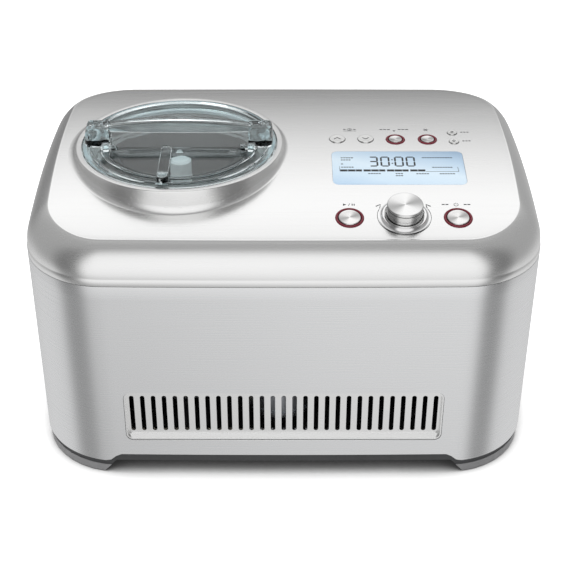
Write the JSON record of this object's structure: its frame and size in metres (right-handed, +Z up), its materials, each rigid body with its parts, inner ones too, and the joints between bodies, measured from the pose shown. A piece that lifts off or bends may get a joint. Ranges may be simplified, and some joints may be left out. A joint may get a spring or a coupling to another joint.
{
  "type": "ice cream maker",
  "caption": "Countertop ice cream maker with built-in freezer: clear lid over a lift-out bowl and turning dasher, sloped control panel with display, dial and buttons, vented steel case.",
  "frame": {"origin": "on the table under the middle of the housing's plan", "axes": "+Z up, the control side faces -Y, +X to the right seen from the front"},
  "size_m": [0.3938, 0.272, 0.25],
  "materials": {
    "satin_steel": "satin",
    "brushed_steel": "brushed",
    "polished_steel": "polished",
    "turned_steel": "spun",
    "button_steel": "satin",
    "shaft_steel": "ground",
    "screw_steel": "plated",
    "zinc_steel": "zinc plated",
    "black_paint": "semi-gloss",
    "aluminium": "satin anodised",
    "copper": "drawn",
    "dark_plastic": "fine grain",
    "grey_plastic": "fine grain",
    "white_plastic": "smooth",
    "foam": "closed cell foam",
    "black_rubber": "matt",
    "circuit_board": "solder mask",
    "display": "backlit",
    "display_glass": "clear",
    "red_plastic": "translucent",
    "clear_silicone": "translucent",
    "clear_plastic": "clear, faint grey tint"
  },
  "bodies": {
    "housing": {"top_cover": "satin_steel", "side_wrap": "brushed_steel", "front_grille": "satin_steel", "base_pan": "dark_plastic", "corner_feet": "grey_plastic", "foot_pads": "black_rubber", "housing_screws": "screw_steel", "bowl_collar": "satin_steel", "cold_well": "aluminium", "evaporator_coil": "copper", "insulation": "foam", "well_frame": "zinc_steel", "spindle_bearing": "white_plastic", "drive_belt": "black_rubber", "drive_motor": "zinc_steel", "compressor": "black_paint", "compressor_mounts": "black_rubber", "start_relay": "white_plastic", "condenser": "aluminium", "fan_shroud": "dark_plastic", "fan_motor": "dark_plastic", "filter_drier": "copper", "refrigerant_lines": "copper", "power_board": "circuit_board", "cord_gland": "black_rubber", "control_board": "circuit_board", "key_switches": "dark_plastic", "lcd_module": "display", "lcd_window": "display_glass", "button_rings": "red_plastic", "dial_ring": "polished_steel", "dial_encoder": "zinc_steel"},
    "spindle": {"spindle_shaft": "shaft_steel", "driven_pulley": "dark_plastic"},
    "motor_rotor": {"motor_pulley": "aluminium", "motor_shaft": "shaft_steel"},
    "fan": {"fan_rotor": "dark_plastic"},
    "dial": {"dial_shaft": "shaft_steel", "dial_knob": "turned_steel"},
    "key_up": {"button_up": "button_steel"},
    "key_down": {"button_down": "button_steel"},
    "key_program": {"button_program": "button_steel"},
    "key_keep_cool": {"button_keep_cool": "button_steel"},
    "key_sound": {"button_sound": "button_steel"},
    "key_units": {"button_units": "button_steel"},
    "key_start": {"button_start": "turned_steel"},
    "key_power": {"button_power": "turned_steel"},
    "bowl": {"mixing_bowl": "aluminium"},
    "bail": {"bowl_bail": "shaft_steel"},
    "dasher": {"dasher": "white_plastic"},
    "seal_ring": {"lid_seal": "clear_silicone"},
    "lid": {"lid": "clear_plastic"},
    "cap": {"ingredient_cap": "clear_plastic"}
  },
  "joints": [
    {"name": "spindle_spin", "type": "hinge", "parent": "housing", "child": "spindle", "pos_m": [-0.082, -0.005, 0.04], "axis": [0, 0, 1], "continuous": true},
    {"name": "motor_spin", "type": "hinge", "parent": "housing", "child": "motor_rotor", "pos_m": [-0.00237, -0.09343, 0.04], "axis": [0, 0, 1], "continuous": true},
    {"name": "fan_spin", "type": "hinge", "parent": "housing", "child": "fan", "pos_m": [0.096, 0.082, 0.082], "axis": [0, 1, 0], "continuous": true},
    {"name": "dial_turn", "type": "hinge", "parent": "housing", "child": "dial", "pos_m": [0.089, -0.0915, 0.21233], "axis": [0, -0.2005, 0.9797], "continuous": true},
    {"name": "press_up", "type": "slide", "parent": "housing", "child": "key_up", "axis": [0, -0.0373, 0.9993], "range_m": [-0.0012, 0], "stiffness_N_per_m": 400},
    {"name": "press_down", "type": "slide", "parent": "housing", "child": "key_down", "axis": [0, -0.0373, 0.9993], "range_m": [-0.0012, 0], "stiffness_N_per_m": 400},
    {"name": "press_program", "type": "slide", "parent": "housing", "child": "key_program", "axis": [0, -0.0385, 0.9993], "range_m": [-0.0012, 0], "stiffness_N_per_m": 400},
    {"name": "press_keep_cool", "type": "slide", "parent": "housing", "child": "key_keep_cool", "axis": [0, -0.0385, 0.9993], "range_m": [-0.0012, 0], "stiffness_N_per_m": 400},
    {"name": "press_sound", "type": "slide", "parent": "housing", "child": "key_sound", "axis": [0, -0.0207, 0.9998], "range_m": [-0.0012, 0], "stiffness_N_per_m": 400},
    {"name": "press_units", "type": "slide", "parent": "housing", "child": "key_units", "axis": [0, -0.0439, 0.999], "range_m": [-0.0012, 0], "stiffness_N_per_m": 400},
    {"name": "press_start", "type": "slide", "parent": "housing", "child": "key_start", "axis": [0, -0.2029, 0.9792], "range_m": [-0.0012, 0], "stiffness_N_per_m": 400},
    {"name": "press_power", "type": "slide", "parent": "housing", "child": "key_power", "axis": [0, -0.2029, 0.9792], "range_m": [-0.0012, 0], "stiffness_N_per_m": 400},
    {"name": "bowl_lift", "type": "slide", "parent": "housing", "child": "bowl", "axis": [0, 0, 1], "range_m": [0, 0.16]},
    {"name": "dasher_spin", "type": "hinge", "parent": "bowl", "child": "dasher", "pos_m": [-0.082, -0.005, 0.15], "axis": [0, 0, 1], "continuous": true},
    {"name": "bail_swing", "type": "hinge", "parent": "bowl", "child": "bail", "pos_m": [-0.082, -0.005, 0.2124], "axis": [-1, 0, 0], "range_deg": [0, 8]},
    {"name": "lid_lift", "type": "slide", "parent": "bowl", "child": "seal_ring", "axis": [0, 0, 1], "range_m": [0, 0.12]},
    {"name": "lid_turn", "type": "hinge", "parent": "seal_ring", "child": "lid", "pos_m": [-0.082, -0.005, 0.226], "axis": [0, 0, 1], "range_deg": [0, 30]},
    {"name": "cap_open", "type": "hinge", "parent": "lid", "child": "cap", "pos_m": [-0.082, -0.018, 0.2315], "axis": [-1, 0, 0], "range_deg": [0, 75]}
  ],
  "couplings": [
    {"joint": "dasher_spin", "follows": "spindle_spin", "ratio": 1},
    {"joint": "motor_spin", "follows": "spindle_spin", "ratio": 5}
  ]
}
